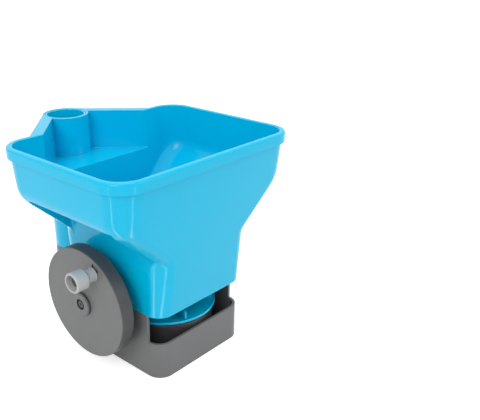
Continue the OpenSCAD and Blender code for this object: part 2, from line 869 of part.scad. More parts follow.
module crank_wheel() {
  edge = 1.2;
  ring_front = wheel_plate - 0.1;
  ring_back = wheel_depth - 1;
  color(grey)
    along_x(wheel_face_x, wheel_y, wheel_z)
      difference() {
        union() {
          // Dished wheel: face plate, outer band, hub on the face and sleeve behind it
          rotate_extrude()
            polygon([
              [0, -hub_rise],
              [hub_radius - 1, -hub_rise],
              [hub_radius, -hub_rise + 1],
              [hub_radius, 0],
              [wheel_radius - edge, 0],
              [wheel_radius - edge * 0.3, edge * 0.3],
              [wheel_radius, edge],
              [wheel_radius, wheel_depth],
              [wheel_radius - gear_rim + 0.3, wheel_depth],
              [wheel_radius - gear_rim + 0.3, wheel_plate],
              [axle_radius + 4, wheel_plate],
              [axle_radius + 4, wheel_depth - 0.1],
              [0, wheel_depth - 0.1]
            ]);
          // Ring gear: teeth that point inwards
          difference() {
            translate([0, 0, ring_front])
              cylinder(h = ring_back - ring_front, r = wheel_radius - gear_rim + 0.6);
            translate([0, 0, ring_front - cut])
              rotate([0, 0, mesh_angle])
                linear_extrude(ring_back - ring_front + 2 * cut)
                  polygon(
                    gear_outline(
                      ring_teeth, ring_pitch, gear_module, ring_gap_share, 0.9, 1.25
                    )
                  );
          }
          for (rib = [0:5])
            rotate([0, 0, 60 * rib + 20])
              translate([axle_radius + 3, -1, wheel_plate - 0.1])
                cube([rib_reach - axle_radius - 3, 2, 5]);
          // Boss behind the plate that holds the knob pin
          translate(concat(knob_local, [wheel_plate - 0.1]))
            cylinder(h = 1.1, r = knob_pin_radius + 2);
        }
        translate([0, 0, -hub_rise - cut])
          cylinder(h = wheel_depth + hub_rise + 2 * cut, r = axle_radius + running_fit);
        translate([0, 0, -hub_rise - cut])
          cylinder(h = axle_sink + cut, r = hub_hole);
        translate(concat(knob_local, [-cut]))
          cylinder(h = wheel_depth, r = knob_pin_radius + 0.02);
        // Pocket in the face beside the foot of the knob
        rotate([0, 0, knob_local_angle])
          translate([knob_throw + knob_pin_radius + 2.6, -4.2, -cut])
            cube([wheel_radius - 6 - knob_throw - knob_pin_radius, 8.4, 1.8 + cut]);
      }
}

module wheel_axle() {
  tip_x = hub_face_x + axle_sink - 0.2;
  color(steel)
    difference() {
      along_x(tip_x, wheel_y, wheel_z)
        cylinder(h = -housing_x - 1.6 - tip_x, r = axle_radius);
      along_x(tip_x - cut, wheel_y, wheel_z)
        cylinder(h = 10 + cut, r = screw_shank + 0.05);
    }
}

module axle_washer() {
  color(steel)
    along_x(hub_face_x + axle_sink - 0.2 - washer, wheel_y, wheel_z)
      tube(hub_hole - 0.4, screw_shank + 0.1, washer);
}

module axle_screw() {
  color(steel)
    along_x(hub_face_x + axle_sink - 0.2 - washer, wheel_y, wheel_z)
      rotate([180, 0, 0])
        screw(screw_head, 1.5, screw_shank, 9);
}

module crank_knob() {
  foot = slide_gap;
  shoulder = knob_length * 0.43;
  recess = 6;
  color(pale_grey)
    along_x(wheel_face_x, wheel_y, wheel_z)
      translate(knob_local)
        rotate([180, 0, 0])
          rotate_extrude()
            polygon([
              [knob_pin_radius + running_fit, foot],
              [knob_neck + 0.5, foot],
              [knob_neck, foot + 1.2],
              [knob_neck, shoulder - 2],
              [knob_radius - 1, shoulder],
              [knob_radius - 0.2, shoulder + 1],
              [knob_radius, knob_length - 1],
              [knob_radius - 0.8, knob_length],
              [knob_recess + 0.4, knob_length],
              [knob_recess, knob_length - 0.5],
              [knob_recess, knob_length - recess],
              [knob_pin_radius + running_fit, knob_length - recess]
            ]);
}

module knob_pin() {
  recess = 6;
  color(steel)
    along_x(wheel_face_x, wheel_y, wheel_z)
      translate(knob_local)
        rotate([180, 0, 0]) {
          translate([0, 0, -wheel_plate - 1])
            cylinder(h = knob_length - recess + slide_gap + wheel_plate + 2, r = knob_pin_radius);
          translate([0, 0, knob_length - recess + slide_gap])
            cylinder(h = 1.6, r1 = knob_recess - 1.6, r2 = knob_recess - 2.4);
        }
}

// ---- gear train ----

module drive_shaft() {
  color(steel)
    along_x(plate_back_x + 1.6, spinner_y, drive_z)
      cylinder(h = -bevel_pitch * bevel_inner - 0.2 - plate_back_x - 1.6, r = shaft_radius);
}

module drive_pinion() {
  front = plate_back_x + 1.8;
  color(pale_grey)
    along_x(front, spinner_y, drive_z)
      difference() {
        union() {
          rotate([0, 0, mesh_angle])
            linear_extrude(wheel_depth - wheel_plate - 3)
              polygon(
                gear_outline(pinion_teeth, pinion_pitch, gear_module, pinion_tooth_share, 1.2, 0.85)
              );
          cylinder(h = ear_x - front - 1.3, r = shaft_radius + 1.6);
        }
        translate([0, 0, -cut])
          cylinder(h = wheel_standoff + wheel_depth, r = shaft_radius + 0.02);
      }
}

// One bevel gear with its large end on z = 0 and its teeth tapering up to the meeting point.
module bevel_gear(phase) {
  face = bevel_pitch * (1 - bevel_inner);
  difference() {
    union() {
      rotate([0, 0, phase])
        linear_extrude(face, scale = bevel_inner)
          polygon(
            gear_outline(bevel_teeth, bevel_pitch, bevel_module, bevel_tooth_share, 1.1, 0.85)
          );
      translate([0, 0, -bevel_hub])
        cylinder(h = bevel_hub + 0.2, r = shaft_radius + 1.8);
    }
    translate([0, 0, -bevel_hub - cut])
      cylinder(h = bevel_hub + face + 2 * cut, r = shaft_radius + 0.02);
  }
}

module drive_bevel() {
  color(pale_grey)
    along_x(-bevel_pitch, spinner_y, drive_z)
      bevel_gear(0);
}

module spinner_bevel() {
  color(pale_grey)
    translate([0, spinner_y, drive_z - bevel_pitch])
      bevel_gear(180 + 180 / bevel_teeth);
}

module outer_bush() {
  color(bronze)
    along_x(ear_x - 1, spinner_y, drive_z) {
      tube(bush_radius, shaft_radius + running_fit, base_wall + 2.5 - ear_x - housing_x);
      tube(bush_radius + 1.4, shaft_radius + running_fit, 1);
    }
}

module inner_bush() {
  color(bronze)
    along_x(inner_boss_x + 0.2, spinner_y, drive_z)
      tube(bush_radius, shaft_radius + running_fit, inner_boss_end - inner_boss_x - 0.2);
}

module spinner_shaft() {
  color(steel)
    translate([0, spinner_y, cover_thickness + 0.3])
      cylinder(h = shaft_top - cover_thickness - 0.3, r = shaft_radius);
}

module spinner_bush() {
  color(bronze)
    translate([0, spinner_y, drum_top - drum_plate + 0.1])
      tube(bush_radius, shaft_radius + running_fit, drum_boss_top - drum_top + drum_plate);
}

module thrust_washer() {
  color(steel)
    translate([0, spinner_y, foot_boss_top + 0.05])
      tube(shaft_radius + 2.4, shaft_radius + 0.1, washer);
}

// Spinner disc: shallow dish, bell over the drum's boss, and fins that sweep back.
module spinner_disc() {
  bell_inner = bush_radius + 2.4 + 0.7;
  bell_outer = bell_inner + 2.2;
  ceiling = drum_boss_top + 0.6;
  color(blue)
    translate([0, spinner_y, 0])
      difference() {
        union() {
          rotate_extrude()
            polygon([
              [bell_inner, disc_underside],
              [spinner_radius - 1, disc_underside],
              [spinner_radius, disc_underside + 0.8],
              [spinner_radius, disc_top + 0.6],
              [spinner_radius - 1.4, disc_top + 0.6],
              [spinner_radius - 2, disc_top],
              [bell_outer + 3, disc_top],
              [bell_outer, disc_top + 2.5],
              [bell_outer - 1, spinner_hub_top - 1.6],
              [bell_outer - 2.6, spinner_hub_top],
              [0, spinner_hub_top],
              [0, ceiling],
              [bell_inner, ceiling]
            ]);
          for (fin = [0:fin_count - 1])
            rotate([0, 0, fin_phase + 360 * fin / fin_count])
              fin_plate(bell_outer);
        }
        translate([0, 0, ceiling - cut])
          cylinder(h = spinner_hub_top, r = shaft_radius + 0.02);
      }
}

// One throwing fin, lower at the hub, from the bell out to the edge of the disc.
module fin_plate(inner) {
  translate([0, 0.9, 0])
    rotate([90, 0, 0])
      linear_extrude(1.8)
        polygon([
          [inner - 1.2, disc_top - 0.3],
          [spinner_radius - 2.2, disc_top - 0.3],
          [spinner_radius - 2.2, disc_top + fin_height - 1.5],
          [spinner_radius - 4, disc_top + fin_height],
          [inner + 9, disc_top + fin_height],
          [inner - 1.2, disc_top + fin_height * 0.55]
        ]);
}

// Stirrer on top of the shaft that keeps the seed moving over the outlet.
module agitator() {
  hub_height = shaft_top - floor_top - 1;
  arm_z = floor_top + stirrer_radius + stirrer_gap;
  reach = funnel_half_width - 4;
  color(grey)
    translate([0, spinner_y, 0])
      difference() {
        union() {
          translate([0, 0, floor_top + 0.5])
            cylinder(h = hub_height, r = shaft_radius + 2.6);
          translate([-reach, 0, arm_z])
            along_x(0, 0, 0)
              cylinder(h = 2 * reach, r = stirrer_radius);
          for (side = [-1, 1])
            translate([side * (reach - stirrer_radius), 0, arm_z])
              cylinder(h = stirrer_post, r = stirrer_radius);
        }
        translate([0, 0, floor_top - cut])
          cylinder(h = shaft_top, r = shaft_radius + 0.02);
      }
}

// ---- gate and trigger ----

// Sliding gate: plate with the outlet window, slot for the shaft, strap and two lugs.
module shutter_gate() {
  plate_back = spinner_y + 24;
  strap_end = link_rest_y + link_pin_radius + slide_gap + lug_thickness;
  lug_height = 9;
  color(dark_grey) {
    difference() {
      union() {
        translate([-gate_half_width, gate_front, gate_bottom])
          cube([2 * gate_half_width, plate_back - gate_front, gate_thickness]);
        translate([-strap_half_width, plate_back - 1, gate_bottom])
          cube([2 * strap_half_width, strap_end - plate_back + 1, gate_thickness]);
      }
      translate([-outlet_width / 2, outlet_front - gate_travel, gate_bottom - cut])
        cube([outlet_width, outlet_length, gate_thickness + 2 * cut]);
      // Shaft slot with round ends
      for (y = [spinner_y, spinner_y - gate_travel])
        translate([0, y, gate_bottom - cut])
          cylinder(h = gate_thickness + 2 * cut, r = shaft_radius + 0.5);
      translate([-shaft_radius - 0.5, spinner_y - gate_travel, gate_bottom - cut])
        cube([2 * shaft_radius + 1, gate_travel, gate_thickness + 2 * cut]);
    }
    for (y = [
      link_rest_y - link_pin_radius - slide_gap - lug_thickness,
      link_rest_y + link_pin_radius + slide_gap
    ])
      translate([-lug_half_width, y, gate_top - 0.5])
        cube([2 * lug_half_width, lug_thickness, lug_height]);
  }
}

// Trigger: a channel that hangs on its pin, with a finger face in front and a link pin below.
module trigger() {
  side_plate = 2;
  half = trigger_width / 2;
  boss = 4.5;
  knee = [handle_y - handle_radius - 9.6, neck_height - 25];
  toe = [link_rest_y, link_rest_z];
  face = 2.6;
  depth = 6;
  // Front edge of the side plates, from the pivot to the knee, and where the face starts
  top_edge = [-trigger_z, trigger_y - boss];
  low_edge = [3 - knee[1], knee[0] - depth];
  face_edge = top_edge + (low_edge - top_edge) * 0.22;
  color(grey)
    difference() {
      union() {
        for (side = [-1, 1])
          along_x(side > 0 ? half - side_plate : -half, 0, 0)
            linear_extrude(side_plate)
              polygon([
                top_edge,
                [-trigger_z, trigger_y + boss],
                [-knee[1] - 2, knee[0] + 1.5],
                [-toe[1] - 3, toe[0] + 3.4],
                [-toe[1], toe[0] + 3.6],
                [-toe[1], toe[0] - 3.6],
                low_edge
              ]);
        for (side = [-1, 1]) {
          along_x(side > 0 ? half - side_plate : -half, trigger_y, trigger_z)
            cylinder(h = side_plate, r = boss);
          along_x(side > 0 ? half - side_plate : -half, toe[0], toe[1])
            cylinder(h = side_plate, r = 3.6);
        }
        // Hub between the plates and the arm that presses the spring
        along_x(-half, trigger_y, trigger_z)
          cylinder(h = trigger_width, r = boss - 1);
        translate([-4, spring_y - 2.6, trigger_z - 1.5])
          cube([8, trigger_y - spring_y + 2.6, 3]);
        // Finger face
        along_x(-half, 0, 0)
          linear_extrude(trigger_width)
            polygon([face_edge, face_edge + [0, face], low_edge + [0, face], low_edge]);
        // Link pin between the lugs of the gate
        along_x(-half, toe[0], toe[1])
          cylinder(h = trigger_width, r = link_pin_radius);
      }
      along_x(-half - cut, trigger_y, trigger_z)
        cylinder(h = trigger_width + 2 * cut, r = pivot_radius + running_fit);
    }
}

// Bracket under the pod: plate, two ears for the trigger pin and a shelf for the spring.
module trigger_bracket() {
  inner = trigger_width / 2 + slide_gap;
  ear = 2.6;
  top = pod_underside;
  plate = 2.4;
  front = spring_y - 5.6;
  back = trigger_y + 5.4;
  color(grey)
    difference() {
      union() {
        translate([-bracket_half_width, front, top - plate])
          cube([2 * bracket_half_width, back - front, plate]);
        for (side = [-1, 1]) {
          along_x(side > 0 ? inner : -inner - ear, trigger_y, trigger_z)
            cylinder(h = ear, r = 4.6);
          translate([side > 0 ? inner : -inner - ear, trigger_y - 4.6, trigger_z])
            cube([ear, 9.2, top - trigger_z - 1]);
        }
        // Front web and spring shelf
        translate([-shelf_half_width, front, shelf_z - 2])
          cube([2 * shelf_half_width, 2, top - shelf_z + 1]);
        translate([-shelf_half_width, front, shelf_z - 2])
          cube([2 * shelf_half_width, 9, 2]);
      }
      along_x(-bracket_half_width - cut, trigger_y, trigger_z)
        cylinder(h = 2 * bracket_half_width + 2 * cut, r = pivot_radius + 0.02);
      for (side = [-1, 1])
        translate([side * bracket_screw_x, bracket_screw_y, top - plate - cut])
          cylinder(h = plate + 2 * cut, r = screw_shank + seat_fit);
    }
}

module trigger_pin() {
  reach = trigger_width / 2 + slide_gap + 2.6;
  color(steel) {
    along_x(-reach - 0.2, trigger_y, trigger_z)
      cylinder(h = 2 * reach + 0.4, r = pivot_radius);
    along_x(-reach - 1.4, trigger_y, trigger_z)
      cylinder(h = 1.2, r = pivot_radius + 1);
  }
}

// Compression spring between the shelf and the trigger's arm: stacked tapered turns.
module trigger_spring() {
  turns = 6;
  low = shelf_z + 0.1;
  high = trigger_z - 1.6;
  wire = 0.45;
  pitch = (high - low - 2 * wire) / turns;
  color(steel)
    translate([0, spring_y, 0])
      rotate_extrude()
        polygon(
          concat(
            [
              for (i = [0:2 * turns])
                [spring_radius + (i % 2 == 0 ? wire : -wire), low + wire + i * pitch / 2]
            ],
            [
              for (i = [2 * turns:-1:0])
                [spring_radius - 2 * wire + (i % 2 == 0 ? wire : -wire), low + wire + i * pitch / 2]
            ]
          )
        );
}

// ---- fasteners ----

module bracket_screws() {
  color(steel)
    for (side = [-1, 1])
      translate([side * bracket_screw_x, bracket_screw_y, pod_underside - 2.4])
        rotate([180, 0, 0])
          screw(small_head, small_head_height, screw_shank, bracket_screw_length);
}

module cover_screws() {
  post_x = base_width / 2 - post_inset;
  post_y = base_depth / 2 - post_inset;
  color(steel)
    for (sx = [-1, 1], sy = [-1, 1])
      translate([sx * post_x, sy * post_y, screw_head_height + 0.2])
        rotate([180, 0, 0])
          screw(screw_head, screw_head_height - 0.4, screw_shank, cover_screw_length);
}

module drum_screws() {
  color(steel)
    for (angle = drum_post_angles)
      translate([
        drum_post_r * cos(angle), spinner_y + drum_post_r * sin(angle), screw_head_height + 0.2
      ])
        rotate([180, 0, 0])
          screw(screw_head, screw_head_height - 0.4, screw_shank, cover_screw_length);
}

module hopper_screws() {
  color(steel)
    for (side = [-1, 1], y = hopper_screw_y)
      translate([side * (skirt_x(hopper_screw_z) + 0.15), y, hopper_screw_z])
        rotate([0, 90 * side, 0])
          screw(screw_head - 0.4, small_head_height, screw_shank, hopper_screw_length);
}

module handle_screw() {
  color(steel)
    translate([0, handle_y + handle_radius + 0.1, handle_screw_z])
      rotate([-90, 0, 0])
        screw(screw_head, 1.6, screw_shank, handle_radius - handle_bore - 0.3);
}

hopper();
handle_tube();
base_housing();
bottom_cover();
gear_drum();
crank_wheel();
wheel_axle();
axle_washer();
axle_screw();
crank_knob();
knob_pin();
drive_shaft();
drive_pinion();
drive_bevel();
outer_bush();
inner_bush();
spinner_shaft();
spinner_bevel();
spinner_disc();
spinner_bush();
thrust_washer();
agitator();
shutter_gate();
trigger();
trigger_bracket();
trigger_pin();
trigger_spring();
bracket_screws();
cover_screws();
drum_screws();
hopper_screws();
handle_screw();
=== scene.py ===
import math

import bpy
import numpy as np
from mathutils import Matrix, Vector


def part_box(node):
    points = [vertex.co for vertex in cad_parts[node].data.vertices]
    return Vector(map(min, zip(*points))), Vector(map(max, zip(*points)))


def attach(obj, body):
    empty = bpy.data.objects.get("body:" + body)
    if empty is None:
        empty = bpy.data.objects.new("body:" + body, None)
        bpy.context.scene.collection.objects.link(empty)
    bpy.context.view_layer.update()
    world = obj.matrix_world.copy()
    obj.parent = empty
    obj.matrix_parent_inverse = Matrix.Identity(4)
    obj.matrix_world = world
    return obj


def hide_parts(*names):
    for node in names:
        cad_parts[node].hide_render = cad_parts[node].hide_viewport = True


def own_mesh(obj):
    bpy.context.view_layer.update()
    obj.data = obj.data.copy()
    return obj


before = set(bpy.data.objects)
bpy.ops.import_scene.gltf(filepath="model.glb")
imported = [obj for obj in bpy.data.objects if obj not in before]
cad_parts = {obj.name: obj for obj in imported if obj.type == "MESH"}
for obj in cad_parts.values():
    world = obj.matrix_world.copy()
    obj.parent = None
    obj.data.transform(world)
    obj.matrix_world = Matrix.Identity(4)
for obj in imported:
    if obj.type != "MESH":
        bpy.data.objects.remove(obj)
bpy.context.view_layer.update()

# ---- Camera ----
# A camera on a tripod in front of the corner between the crank wheel and the throwing
# side, a little above the rim. The lens is a normal one of 49 mm, shifted up and sideways.
turn = math.radians(47.47)
tilt = math.radians(26.59)
aim = np.array([0.05967, -0.00133, 0.05633])
away = np.array([
    -math.sin(turn) * math.cos(tilt), -math.cos(turn) * math.cos(tilt), math.sin(tilt),
])
distance = 0.64653
frame_width = 480
focal_length = 651.3
camera_data = bpy.data.cameras.new("studio_camera")
camera_data.sensor_width = 36
camera_data.lens = focal_length / frame_width * 36
camera_data.shift_x = 40 / frame_width
camera_data.shift_y = 50 / frame_width
camera_data.clip_start = 0.01
camera_data.clip_end = 50
camera = bpy.data.objects.new("studio_camera", camera_data)
bpy.context.scene.collection.objects.link(camera)
right = np.cross(-away, (0, 0, 1))
right /= np.linalg.norm(right)
matrix = np.eye(4)
matrix[:3, 0] = right
matrix[:3, 1] = np.cross(right, -away)
matrix[:3, 2] = away
matrix[:3, 3] = aim + distance * away
camera.matrix_world = matrix.T.tolist()
bpy.context.scene.camera = camera

# ---- Hopper ----
# One injection moulding in glossy blue polypropylene. A straight-sided bin with a turned-down
# lip draws in over sloped shoulders to a neck, and a funnel inside leads to a flat floor with
# the outlet. The walls are 2.4 mm thick. A pod behind the rear wall holds the grip tube.
RIM = (102.5, 76.8, 25.0)
RIM_HEIGHT = 194.0
LIP_BOTTOM = 184.7
WALL = 2.4
BASE_HEIGHT = 60.8
FOOT_HALF = 53.7
NECK_HALF = 54.5
NECK_HEIGHT = 113.0
SHOULDER_HALF = 97.865
SHOULDER_HEIGHT = 152.0
BRIM_HALF = 99.5
FUNNEL_TOP = 98.0
SPINNER_Y = -11.3


def line_blend(z, low, high):
    """A value that changes evenly from low at the base's top to high at the lip's lower edge."""
    return low + (high - low) * (z - BASE_HEIGHT) / (LIP_BOTTOM - BASE_HEIGHT)


def half_depth(z):
    """Half of the outer depth, from front to back, at height z."""
    return line_blend(z, 60.3, 73.8)


def skin_corner(z):
    """Outer corner radius at height z."""
    return line_blend(z, 14.0, 22.0)


def rounded_ring(half_x, half_y, radius, z, shift_y=0.0, steps=14):
    """A level rounded rectangle: each corner is a quarter circle, and its centre is set in
    from both sides by the radius."""
    corner = np.repeat(np.arange(4), steps + 1)
    angle = np.radians(90 * corner + 90 * np.tile(np.arange(steps + 1), 4) / steps)
    side_x = np.where((corner == 0) | (corner == 3), 1, -1)
    side_y = np.where(corner < 2, 1, -1)
    x = side_x * (half_x - radius) + radius * np.cos(angle)
    y = shift_y + side_y * (half_y - radius) + radius * np.sin(angle)
    return np.stack([x, y, np.full_like(x, z)], axis=1)


def round_corner(a, b, c, radius, steps=10):
    """Arc of the given radius that touches a-b and b-c. Its centre is on the line that halves
    the angle at b. The directions from it to the two touching points are blended and scaled to
    the radius."""
    a, b, c = (np.array(p, float) for p in (a, b, c))
    to_a = (a - b) / np.linalg.norm(a - b)
    to_c = (c - b) / np.linalg.norm(c - b)
    half = math.acos(float(to_a @ to_c)) / 2
    centre = b + (to_a + to_c) / np.linalg.norm(to_a + to_c) * radius / math.sin(half)
    first = b + to_a * radius / math.tan(half) - centre
    last = b + to_c * radius / math.tan(half) - centre
    share = np.linspace(0, 1, steps + 1)[:, None]
    ray = first * (1 - share) + last * share
    return centre + ray * radius / np.linalg.norm(ray, axis=1)[:, None]


def side_profile(inset):
    """Half width against height, from the skirt over the neck and the shoulder to the lip, moved
    in by inset. The corners rise by inset times (1 / cos slope - tan slope), which keeps the
    sloped wall as thick as the upright ones."""
    slope = math.atan2(SHOULDER_HEIGHT - NECK_HEIGHT, SHOULDER_HALF - NECK_HALF)
    lift = inset * (1 / math.cos(slope) - math.tan(slope))
    foot = [FOOT_HALF - inset, BASE_HEIGHT]
    neck = [NECK_HALF - inset, NECK_HEIGHT + lift]
    shoulder = [SHOULDER_HALF - inset, SHOULDER_HEIGHT + lift]
    brim = [BRIM_HALF - inset, LIP_BOTTOM]
    return np.vstack([
        [foot],
        round_corner(foot, neck, shoulder, 10.0),
        round_corner(neck, shoulder, brim, 22.0 - inset),
        [brim],
    ])


def solid(name, points, faces):
    """A mesh object at the origin, from points in millimetres and faces that point outwards."""
    mesh = bpy.data.meshes.new(name)
    mesh.from_pydata((np.asarray(points) * 0.001).tolist(), [], [list(map(int, f)) for f in faces])
    mesh.update()
    made = bpy.data.objects.new(name, mesh)
    bpy.context.scene.collection.objects.link(made)
    return made


def lofted(name, rings):
    """Closed skin over level rings of equal length, from the lowest to the highest."""
    count = len(rings[0])
    levels = len(rings)
    start = np.arange(levels - 1)[:, None] * count
    here = np.arange(count)[None, :]
    after = (here + 1) % count
    sides = np.stack(
        [start + here, start + after, start + count + after, start + count + here], axis=2,
    )
    faces = sides.reshape(-1, 4).tolist()
    faces.append(list(range(count - 1, -1, -1)))
    faces.append(list(range((levels - 1) * count, levels * count)))
    return solid(name, np.vstack(rings), faces)


def standing_prism(name, outline, low, high):
    """A prism with a level outline of (x, y) points, listed counter-clockwise, from low to high."""
    outline = np.asarray(outline, float)
    rings = [np.column_stack([outline, np.full(len(outline), z)]) for z in (low, high)]
    return lofted(name, rings)


def settle(made):
    """Applies every modifier: the evaluated mesh takes the place of the object's own."""
    graph = bpy.context.evaluated_depsgraph_get()
    mesh = bpy.data.meshes.new_from_object(made.evaluated_get(graph))
    old = made.data
    made.modifiers.clear()
    made.data = mesh
    mesh.name = made.name
    bpy.data.meshes.remove(old)
    return made


def soften(made, width, segments=3, angle=30):
    """Rounds every edge that turns by more than angle degrees."""
    bevel = made.modifiers.new("round", "BEVEL")
    bevel.width = width * 0.001
    bevel.segments = segments
    bevel.limit_method = "ANGLE"
    bevel.angle_limit = math.radians(angle)
    bevel.use_clamp_overlap = True
    return settle(made)


def combine(made, other, operation):
    """Joins or cuts two closed solids. The second one is used up."""
    boolean = made.modifiers.new("combine", "BOOLEAN")
    boolean.operation = operation
    boolean.solver = "MANIFOLD"
    boolean.object = other
    settle(made)
    bpy.data.objects.remove(other)
    return made


def skin_rings(inset):
    """Rings of the hopper's skin moved in by inset: half width from the side profile, half depth
    and corner radius from the height."""
    return [
        rounded_ring(x, half_depth(z) - inset, skin_corner(z) - inset, z)
        for x, z in side_profile(inset)
    ]


def knuckle_recess(name, grow, through):
    """The hollow beside the neck: an outline of (x, z) points under the shoulder and beside the
    neck, carried from front to back. Its front end stays a wall's thickness behind the leaning
    front wall, or runs through it."""
    inner = 0.4 + grow - NECK_HALF
    roof = 146.0 + grow
    bottom = 101.0
    outside = -140.0
    shoulder = [-SHOULDER_HALF, SHOULDER_HEIGHT + grow]
    outline = np.vstack([
        [[outside, bottom], [outside, shoulder[1]], shoulder],
        round_corner(shoulder, [inner, roof], [inner, bottom], 6.0 - grow, 6),
        [[inner, bottom]],
    ])
    x, z = outline[:, 0], outline[:, 1]
    front_y = np.full_like(x, -120.0) if through else -(half_depth(z) - WALL)
    front = np.column_stack([x, front_y, z])
    back = np.column_stack([x, np.full_like(x, 47.0 + grow), z])
    return lofted(name, [front, back])


HANDLE_Y = 117.0
COLLAR_RADIUS = 21.4
POD_HALF_WIDTH = 70.6
POD_ROOT_Y = 74.8
POD_BOTTOM = 155.0


def pod_normal():
    """Direction across the pod's straight side, which is the tangent from the flange's root to
    the collar: bearing of the collar's centre plus the angle that its radius fills."""
    reach = HANDLE_Y - POD_ROOT_Y
    return math.atan2(reach, POD_HALF_WIDTH) + math.asin(
        COLLAR_RADIUS / math.hypot(POD_HALF_WIDTH, reach)
    )


def pod_outline(inset):
    """Outline of the pod, set in: each straight side touches a circle a little smaller than the
    collar, so it is the line whose distance from the collar's centre is that circle's radius."""
    turn_in = pod_normal()
    radius = COLLAR_RADIUS - inset - 0.15
    start_y = 67.4
    start_x = (radius + math.cos(turn_in) * (HANDLE_Y - start_y)) / math.sin(turn_in)
    foot_x = radius * math.sin(turn_in)
    foot_y = HANDLE_Y + radius * math.cos(turn_in)
    return [
        [-start_x, start_y],
        [start_x, start_y],
        [foot_x, foot_y],
        [0, foot_y + 1],
        [-foot_x, foot_y],
    ]


def round_bar(name, x, y, radius, low, high, steps=96):
    """A standing cylinder: a circle of points between two levels."""
    angle = np.arange(steps) * 2 * math.pi / steps
    circle = np.stack([x + radius * np.cos(angle), y + radius * np.sin(angle)], axis=1)
    return standing_prism(name, circle, low, high)


def cuboid(name, low, high):
    """A box between its lowest and highest corners."""
    (x0, y0, z0), (x1, y1, z1) = low, high
    return standing_prism(name, [[x0, y0], [x1, y0], [x1, y1], [x0, y1]], z0, z1)


# The outer skin, and the recess in it. The web keeps the front wall's rounded corner whole.
hopper = lofted("hopper_shell", skin_rings(0.0))
recess = soften(knuckle_recess("recess", 0.0, False), 3.0, 5, 50)
web = lofted("web", skin_rings(-0.5))
combine(web, lofted("web_inner", skin_rings(WALL)), "DIFFERENCE")
combine(web, cuboid("web_part", (-120.0, -90.0, 95.0), (-20.0, -56.0, 170.0)), "INTERSECT")
combine(recess, web, "DIFFERENCE")
combine(hopper, recess, "DIFFERENCE")
soften(hopper, 0.7, 2, 40)

# The lip round the brim, rounded over at the top
edge = 2.2
lip_levels = [(LIP_BOTTOM, 0.5), (LIP_BOTTOM + 0.15, 0.15), (LIP_BOTTOM + 0.5, 0.0)]
lip_levels += [
    (RIM_HEIGHT - edge + edge * math.sin(a), edge * (1 - math.cos(a)))
    for a in np.linspace(0, math.pi / 2, 9)
]
lip = lofted("lip", [
    rounded_ring(RIM[0] - d, RIM[1] - d, RIM[2] - d, z) for z, d in lip_levels
])
combine(hopper, lip, "UNION")

# The pod behind the rear wall: a flange, walls under it and the collar of the grip tube
flange = soften(standing_prism("flange", pod_outline(0.0), LIP_BOTTOM, RIM_HEIGHT), 1.6, 4)
under_flange = standing_prism("under_flange", pod_outline(2.0), LIP_BOTTOM - 5, RIM_HEIGHT - 3.0)
combine(flange, under_flange, "DIFFERENCE")
combine(flange, standing_prism("pod_wall", pod_outline(9.1), POD_BOTTOM, RIM_HEIGHT - 1.0), "UNION")
collar = soften(round_bar("collar", 0.0, HANDLE_Y, COLLAR_RADIUS, POD_BOTTOM, RIM_HEIGHT), 0.8, 3)
combine(flange, collar, "UNION")
combine(hopper, flange, "UNION")

# The room inside: funnel, bin and the pod round the collar
space = [ring for ring in skin_rings(WALL) if ring[0][2] > FUNNEL_TOP]
brim = space[-1]
FUNNEL_Y = -12.3
funnel_floor = rounded_ring(24.0, 31.0, 10.0, 66.5, FUNNEL_Y)
funnel_brim = rounded_ring(
    51.7, half_depth(FUNNEL_TOP) - WALL, skin_corner(FUNNEL_TOP) - WALL, FUNNEL_TOP,
)
inner_edge = 0.9
above = [brim + [0, 0, RIM_HEIGHT - inner_edge - LIP_BOTTOM]]
for a in np.linspace(0.0, math.pi / 2, 5)[1:]:
    flare = inner_edge * (1 - math.cos(a))
    above.append(rounded_ring(
        97.1 + flare, half_depth(LIP_BOTTOM) - WALL + flare, 19.6 + flare,
        RIM_HEIGHT - inner_edge + inner_edge * math.sin(a),
    ))
above.append(above[-1] + [0, 0, 3.0])
inside = lofted("inside", [funnel_floor, funnel_brim, *space, *above])
combine(inside, soften(knuckle_recess("recess_inner", WALL, True), 3.0, 5, 50), "DIFFERENCE")
pod_space = standing_prism("pod_space", pod_outline(11.5), 157.4, RIM_HEIGHT + 5)
collar_inner = round_bar("collar_inner", 0.0, HANDLE_Y, COLLAR_RADIUS, 150.0, RIM_HEIGHT + 10)
combine(pod_space, collar_inner, "DIFFERENCE")
combine(inside, pod_space, "UNION")
combine(hopper, inside, "DIFFERENCE")

# The room in the skirt under the funnel, whose outside stays
skirt = lofted("skirt", [
    rounded_ring(51.3, 57.9, 11.6, 59.8),
    rounded_ring(51.3, half_depth(FUNNEL_TOP) - WALL, skin_corner(FUNNEL_TOP) - WALL, 93.2),
])
cone = lofted("cone", [
    rounded_ring(26.4, 33.4, 12.0, 63.5, FUNNEL_Y),
    rounded_ring(26.4, 33.4, 12.0, 65.5, FUNNEL_Y),
    rounded_ring(NECK_HALF, half_depth(FUNNEL_TOP), skin_corner(FUNNEL_TOP), 94.6),
    rounded_ring(NECK_HALF, half_depth(FUNNEL_TOP), skin_corner(FUNNEL_TOP), 99.0),
])
combine(skirt, cone, "DIFFERENCE")
combine(hopper, skirt, "DIFFERENCE")

